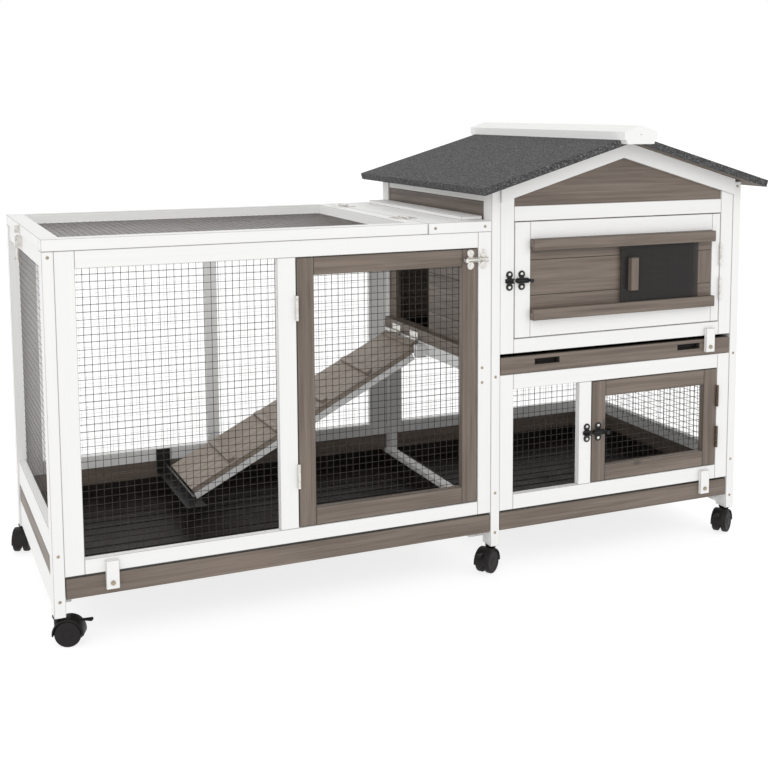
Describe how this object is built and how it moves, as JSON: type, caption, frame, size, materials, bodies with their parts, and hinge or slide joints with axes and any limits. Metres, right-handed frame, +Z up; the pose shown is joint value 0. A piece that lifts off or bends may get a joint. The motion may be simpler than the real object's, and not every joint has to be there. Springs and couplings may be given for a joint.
{
  "type": "rabbit hutch",
  "caption": "Wooden rabbit hutch on casters: a wire run with hinged lid and door beside a two-level house with ramp, doors, sliding window, pull-out trays and gabled felt roof.",
  "frame": {"origin": "centre of the bounding box in plan, on the floor under the wheels", "axes": "+X along the length from the run to the house, +Y from the front to the back, +Z up"},
  "size_m": [1.4578, 0.674, 0.869],
  "materials": {
    "white_paint": "satin painted",
    "taupe_paint": "satin painted",
    "bare_wood": "sawn",
    "roof_felt": "mineral grains on bitumen felt",
    "wire": "galvanised",
    "nickel": "polished",
    "black_steel": "satin",
    "tray_plastic": "moulded",
    "clear_pane": "clear sheet",
    "black_plastic": "moulded",
    "wheel_plastic": "moulded"
  },
  "bodies": {
    "frame": {"corner_posts": "white_paint", "run_front_frame": "white_paint", "run_back_and_side_frames": "white_paint", "base_boards": "taupe_paint", "tray_runners": "bare_wood", "house_front_frame": "white_paint", "house_rails": "white_paint", "house_left_wall": "taupe_paint", "house_outer_walls": "taupe_paint", "gable_boards": "taupe_paint", "barge_boards": "white_paint", "roof_boards": "bare_wood", "roof_felt": "roof_felt", "ridge_cap": "white_paint", "top_strip": "white_paint", "wire_panels": "wire", "frame_hardware": "nickel", "frame_screws": "nickel", "ramp_foot": "black_steel"},
    "run_door": {"run_door_frame": "taupe_paint", "run_door_wire": "wire", "run_door_hardware": "nickel"},
    "run_door_bolt": {"run_door_bolt": "nickel"},
    "lid": {"lid_frame": "white_paint", "lid_wire": "wire", "lid_hardware": "nickel"},
    "lid_bolt": {"lid_bolt": "nickel"},
    "upper_door": {"upper_door_frame": "white_paint", "upper_door_panel": "taupe_paint", "window_wire": "wire", "upper_door_hardware": "black_steel"},
    "upper_door_bolt": {"upper_door_bolt": "black_steel"},
    "window": {"window_pane_and_handle": "clear_pane"},
    "lower_door": {"lower_door_frame": "taupe_paint", "lower_door_wire": "wire", "lower_door_hardware": "black_steel"},
    "lower_door_bolt": {"lower_door_bolt": "black_steel"},
    "ramp": {"ramp": "bare_wood", "ramp_hinge_leaves": "nickel"},
    "run_tray": {"run_tray": "tray_plastic"},
    "run_tray_button": {"run_tray_button": "white_paint"},
    "lower_tray": {"lower_tray": "tray_plastic"},
    "lower_tray_button": {"lower_tray_button": "white_paint"},
    "upper_tray": {"upper_tray": "tray_plastic"},
    "upper_tray_button": {"upper_tray_button": "white_paint"},
    "caster_front_left_swivel": {"caster_front_left_hood": "black_plastic"},
    "caster_front_left_wheels": {"caster_front_left_wheels": "wheel_plastic"},
    "caster_front_left_brake": {"caster_front_left_brake": "black_plastic"},
    "caster_front_middle_swivel": {"caster_front_middle_hood": "black_plastic"},
    "caster_front_middle_wheels": {"caster_front_middle_wheels": "wheel_plastic"},
    "caster_front_middle_brake": {"caster_front_middle_brake": "black_plastic"},
    "caster_front_right_swivel": {"caster_front_right_hood": "black_plastic"},
    "caster_front_right_wheels": {"caster_front_right_wheels": "wheel_plastic"},
    "caster_front_right_brake": {"caster_front_right_brake": "black_plastic"},
    "caster_back_left_swivel": {"caster_back_left_hood": "black_plastic"},
    "caster_back_left_wheels": {"caster_back_left_wheels": "wheel_plastic"},
    "caster_back_middle_swivel": {"caster_back_middle_hood": "black_plastic"},
    "caster_back_middle_wheels": {"caster_back_middle_wheels": "wheel_plastic"},
    "caster_back_right_swivel": {"caster_back_right_hood": "black_plastic"},
    "caster_back_right_wheels": {"caster_back_right_wheels": "wheel_plastic"}
  },
  "joints": [
    {"name": "run_door_hinge", "type": "hinge", "parent": "frame", "child": "run_door", "pos_m": [-0.27915, -0.2773, 0.4], "axis": [0, 0, -1], "range_deg": [0, 120]},
    {"name": "run_door_bolt_slide", "type": "slide", "parent": "run_door", "child": "run_door_bolt", "axis": [1, 0, 0], "range_m": [0, 0.02]},
    {"name": "lower_door_hinge", "type": "hinge", "parent": "frame", "child": "lower_door", "pos_m": [0.64135, -0.2773, 0.25], "axis": [0, 0, 1], "range_deg": [0, 120]},
    {"name": "lower_door_bolt_slide", "type": "slide", "parent": "lower_door", "child": "lower_door_bolt", "axis": [-1, 0, 0], "range_m": [0, 0.02]},
    {"name": "upper_door_hinge", "type": "hinge", "parent": "frame", "child": "upper_door", "pos_m": [0.64135, -0.2773, 0.57], "axis": [0, 0, 1], "range_deg": [0, 120]},
    {"name": "upper_door_bolt_slide", "type": "slide", "parent": "upper_door", "child": "upper_door_bolt", "axis": [-1, 0, 0], "range_m": [0, 0.02]},
    {"name": "window_slide", "type": "slide", "parent": "upper_door", "child": "window", "axis": [-1, 0, 0], "range_m": [0, 0.18]},
    {"name": "lid_hinge", "type": "hinge", "parent": "frame", "child": "lid", "pos_m": [-0.0234, 0, 0.6936], "axis": [0, 1, 0], "range_deg": [0, 140]},
    {"name": "lid_bolt_slide", "type": "slide", "parent": "frame", "child": "lid_bolt", "axis": [0, 0, 1], "range_m": [0, 0.014]},
    {"name": "run_tray_slide", "type": "slide", "parent": "frame", "child": "run_tray", "axis": [0, -1, 0], "range_m": [0, 0.48]},
    {"name": "run_tray_button_turn", "type": "hinge", "parent": "run_tray", "child": "run_tray_button", "pos_m": [-0.6124, -0.2785, 0.1025], "axis": [0, 1, 0], "range_deg": [0, 90]},
    {"name": "lower_tray_slide", "type": "slide", "parent": "frame", "child": "lower_tray", "axis": [0, -1, 0], "range_m": [0, 0.48]},
    {"name": "lower_tray_button_turn", "type": "hinge", "parent": "lower_tray", "child": "lower_tray_button", "pos_m": [0.6111, -0.2785, 0.105], "axis": [0, 1, 0], "range_deg": [0, 90]},
    {"name": "upper_tray_slide", "type": "slide", "parent": "frame", "child": "upper_tray", "axis": [0, -1, 0], "range_m": [0, 0.48]},
    {"name": "upper_tray_button_turn", "type": "hinge", "parent": "upper_tray", "child": "upper_tray_button", "pos_m": [0.6171, -0.2785, 0.408], "axis": [0, 1, 0], "range_deg": [0, 90]},
    {"name": "ramp_hinge", "type": "hinge", "parent": "frame", "child": "ramp", "pos_m": [0.0923, 0.027, 0.408], "axis": [0, 1, 0], "range_deg": [0, 50]},
    {"name": "caster_front_left_swivel_turn", "type": "hinge", "parent": "frame", "child": "caster_front_left_swivel", "pos_m": [-0.6994, -0.2575, 0.05], "axis": [0, 0, 1], "continuous": true},
    {"name": "caster_front_left_axle_turn", "type": "hinge", "parent": "caster_front_left_swivel", "child": "caster_front_left_wheels", "pos_m": [-0.68437, -0.26297, 0.0225], "axis": [0.342, 0.9397, 0], "continuous": true},
    {"name": "caster_front_left_brake_press", "type": "hinge", "parent": "caster_front_left_swivel", "child": "caster_front_left_brake", "pos_m": [-0.66523, -0.26994, 0.04287], "axis": [0.342, 0.9397, 0], "range_deg": [0, 20]},
    {"name": "caster_front_middle_swivel_turn", "type": "hinge", "parent": "frame", "child": "caster_front_middle_swivel", "pos_m": [0.1176, -0.2575, 0.05], "axis": [0, 0, 1], "continuous": true},
    {"name": "caster_front_middle_axle_turn", "type": "hinge", "parent": "caster_front_middle_swivel", "child": "caster_front_middle_wheels", "pos_m": [0.10449, -0.26668, 0.0225], "axis": [0.5736, -0.8192, 0], "continuous": true},
    {"name": "caster_front_middle_brake_press", "type": "hinge", "parent": "caster_front_middle_swivel", "child": "caster_front_middle_brake", "pos_m": [0.08781, -0.27836, 0.04287], "axis": [0.5736, -0.8192, 0], "range_deg": [0, 20]},
    {"name": "caster_front_right_swivel_turn", "type": "hinge", "parent": "frame", "child": "caster_front_right_swivel", "pos_m": [0.6816, -0.2575, 0.05], "axis": [0, 0, 1], "continuous": true},
    {"name": "caster_front_right_axle_turn", "type": "hinge", "parent": "caster_front_right_swivel", "child": "caster_front_right_wheels", "pos_m": [0.66849, -0.26668, 0.0225], "axis": [0.5736, -0.8192, 0], "continuous": true},
    {"name": "caster_front_right_brake_press", "type": "hinge", "parent": "caster_front_right_swivel", "child": "caster_front_right_brake", "pos_m": [0.65181, -0.27836, 0.04287], "axis": [0.5736, -0.8192, 0], "range_deg": [0, 20]},
    {"name": "caster_back_left_swivel_turn", "type": "hinge", "parent": "frame", "child": "caster_back_left_swivel", "pos_m": [-0.6994, 0.2575, 0.05], "axis": [0, 0, 1], "continuous": true},
    {"name": "caster_back_left_axle_turn", "type": "hinge", "parent": "caster_back_left_swivel", "child": "caster_back_left_wheels", "pos_m": [-0.70488, 0.24247, 0.0225], "axis": [0.9397, -0.342, 0], "continuous": true},
    {"name": "caster_back_middle_swivel_turn", "type": "hinge", "parent": "frame", "child": "caster_back_middle_swivel", "pos_m": [0.1176, 0.2575, 0.05], "axis": [0, 0, 1], "continuous": true},
    {"name": "caster_back_middle_axle_turn", "type": "hinge", "parent": "caster_back_middle_swivel", "child": "caster_back_middle_wheels", "pos_m": [0.1096, 0.27136, 0.0225], "axis": [-0.866, -0.5, 0], "continuous": true},
    {"name": "caster_back_right_swivel_turn", "type": "hinge", "parent": "frame", "child": "caster_back_right_swivel", "pos_m": [0.6816, 0.2575, 0.05], "axis": [0, 0, 1], "continuous": true},
    {"name": "caster_back_right_axle_turn", "type": "hinge", "parent": "caster_back_right_swivel", "child": "caster_back_right_wheels", "pos_m": [0.68707, 0.27254, 0.0225], "axis": [-0.9397, 0.342, 0], "continuous": true}
  ]
}
